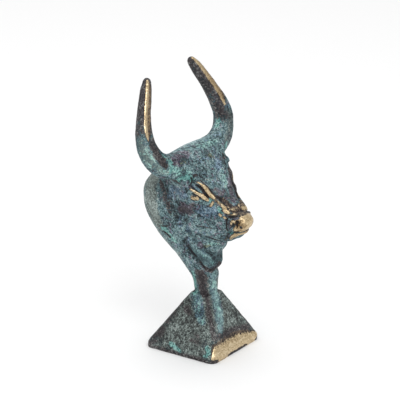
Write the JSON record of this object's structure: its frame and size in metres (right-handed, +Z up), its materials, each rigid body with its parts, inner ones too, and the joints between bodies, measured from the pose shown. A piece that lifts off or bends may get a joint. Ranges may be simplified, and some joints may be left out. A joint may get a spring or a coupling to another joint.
{
  "type": "bull's head statuette",
  "caption": "Cast bronze bust of a minotaur: a bull's head with upright curved horns on a thick neck that tapers to a small pyramid plinth; it stands on its flat underside.",
  "frame": {"origin": "middle of the plinth's flat underside", "axes": "+Z up through the horns, -Y where the bull faces, +X to the bull's left"},
  "size_m": [0.0666, 0.0542, 0.126],
  "materials": {
    "patinated_bronze": "cast bronze with a mottled blue-green patina over dark brown, rubbed bright on its high places"
  },
  "bodies": {
    "root": {"minotaur_bust": "patinated_bronze"}
  },
  "joints": []
}
